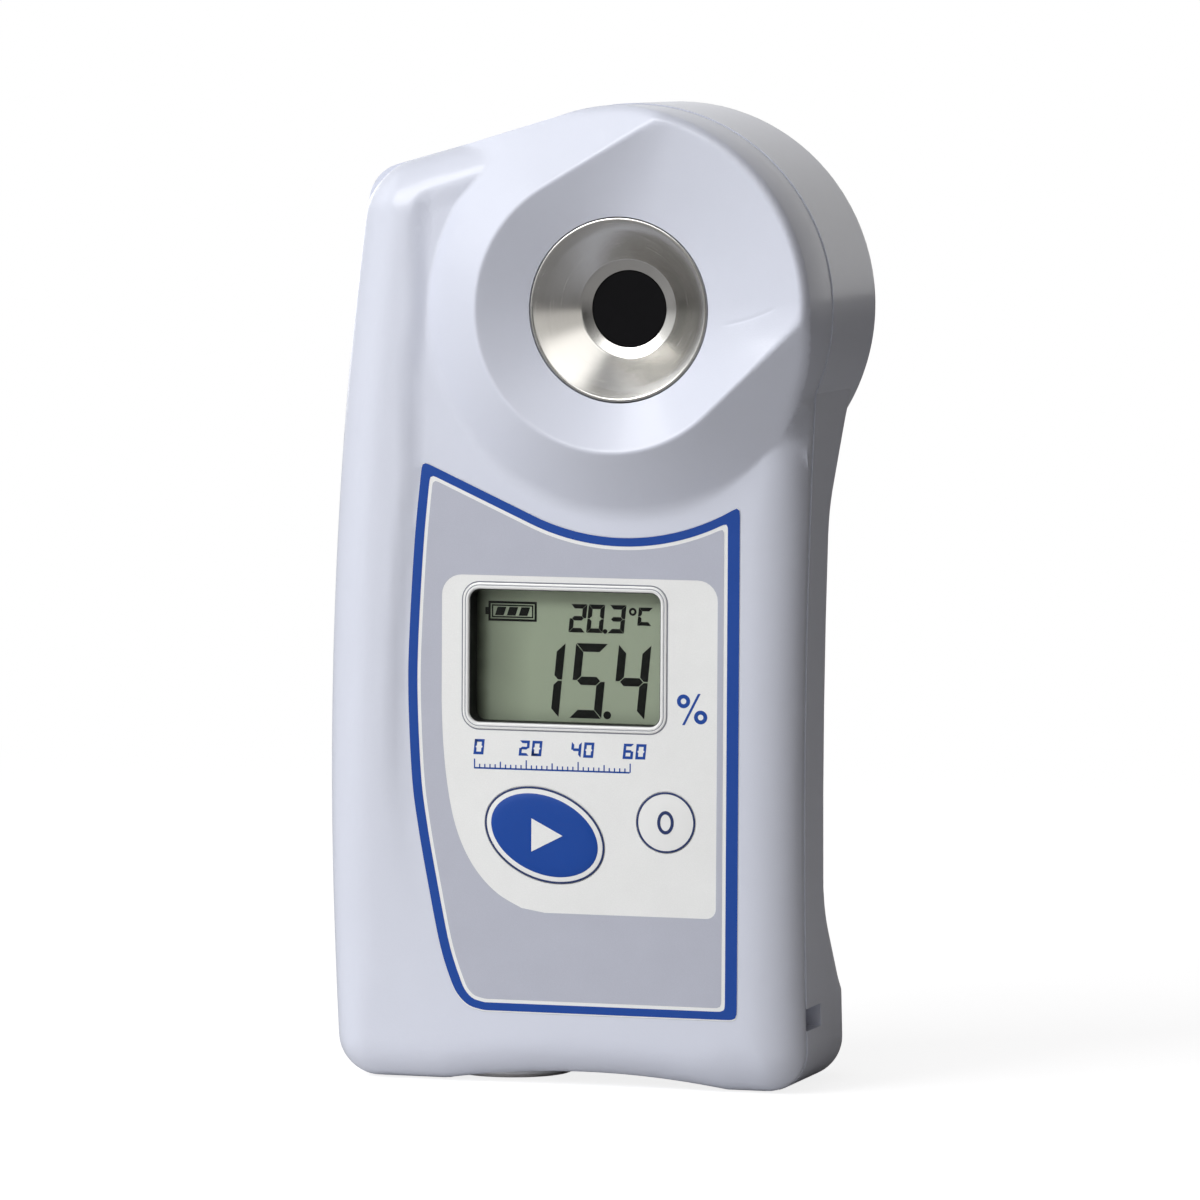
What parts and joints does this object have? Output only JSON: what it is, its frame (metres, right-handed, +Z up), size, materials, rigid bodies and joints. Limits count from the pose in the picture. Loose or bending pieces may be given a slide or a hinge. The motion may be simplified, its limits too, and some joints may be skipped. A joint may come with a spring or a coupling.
{
  "type": "digital refractometer",
  "caption": "Hand-held digital refractometer: steel sample well in a round dished head, recessed display, press keys and a coin-turned battery cap underneath.",
  "frame": {"origin": "centre of the case's outer box at the base, where the two feet stand", "axes": "+Z up along the case, the front with display and sample well faces -Y, +X to the right seen from the front"},
  "size_m": [0.0576, 0.031, 0.109],
  "materials": {
    "case_plastic": "smooth moulded, semi-gloss",
    "film_print": "printed film, fine satin",
    "bezel_plastic": "smooth white",
    "window_clear": "clear, polished",
    "display_glass": "reflective display glass",
    "black_plastic": "matt black moulded",
    "zebra_rubber": "striped elastomer",
    "board_laminate": "green solder resist",
    "screw_steel": "plated steel",
    "chip_epoxy": "black epoxy",
    "part_ceramic": "small ceramic parts",
    "key_blue": "blue key, smooth",
    "key_white": "white key, smooth",
    "stage_steel": "turned stainless steel",
    "prism_glass": "polished, dark behind",
    "seal_rubber": "soft black rubber",
    "lens_glass": "clear polished lens",
    "led_clear": "clear epoxy",
    "ribbon_film": "amber flexible circuit",
    "tube_plastic": "natural moulded plastic",
    "cell_can": "printed cell can",
    "contact_metal": "plated spring metal",
    "cap_plastic": "smooth moulded"
  },
  "bodies": {
    "root": {"front_case": "case_plastic", "back_case": "case_plastic", "case_seal": "seal_rubber", "case_screws": "screw_steel", "overlay_sheet": "film_print", "display_bezel": "bezel_plastic", "display_window": "window_clear", "lcd_frame": "black_plastic", "lcd_panel": "display_glass", "zebra_strips": "zebra_rubber", "main_board": "board_laminate", "board_screws": "screw_steel", "processor_chip": "chip_epoxy", "board_parts": "part_ceramic", "start_switch": "black_plastic", "zero_switch": "black_plastic", "sample_stage": "stage_steel", "stage_seal": "seal_rubber", "stage_retainer": "screw_steel", "prism": "prism_glass", "prism_seal": "seal_rubber", "temperature_sensor": "part_ceramic", "optics_block": "black_plastic", "optics_screws": "screw_steel", "led_board": "board_laminate", "led_emitter": "led_clear", "collimator_lens": "lens_glass", "imaging_lens": "lens_glass", "sensor_board": "board_laminate", "line_sensor": "chip_epoxy", "sensor_ribbon": "ribbon_film", "battery_tube": "tube_plastic", "battery_lower": "cell_can", "battery_upper": "cell_can", "contact_plate": "contact_metal", "contact_strip": "contact_metal"},
    "start_button": {"start_key": "key_blue", "start_plunger": "key_white"},
    "zero_button": {"zero_key": "key_white", "zero_plunger": "key_white"},
    "cap_carrier": {"contact_carrier": "black_plastic", "cap_spring": "contact_metal"},
    "cap": {"battery_cap": "cap_plastic", "cap_seal": "seal_rubber"}
  },
  "joints": [
    {"name": "start_press", "type": "slide", "parent": "root", "child": "start_button", "axis": [0, 1, 0], "range_m": [0, 0.0004], "stiffness_N_per_m": 1000},
    {"name": "zero_press", "type": "slide", "parent": "root", "child": "zero_button", "axis": [0, 1, 0], "range_m": [0, 0.0004], "stiffness_N_per_m": 1000},
    {"name": "cap_pull", "type": "slide", "parent": "root", "child": "cap_carrier", "axis": [0, 0, -1], "range_m": [0, 0.012]},
    {"name": "cap_turn", "type": "hinge", "parent": "cap_carrier", "child": "cap", "pos_m": [-0.0098, 0.0014, 0.0002], "axis": [0, 0, -1], "range_deg": [0, 90]}
  ]
}
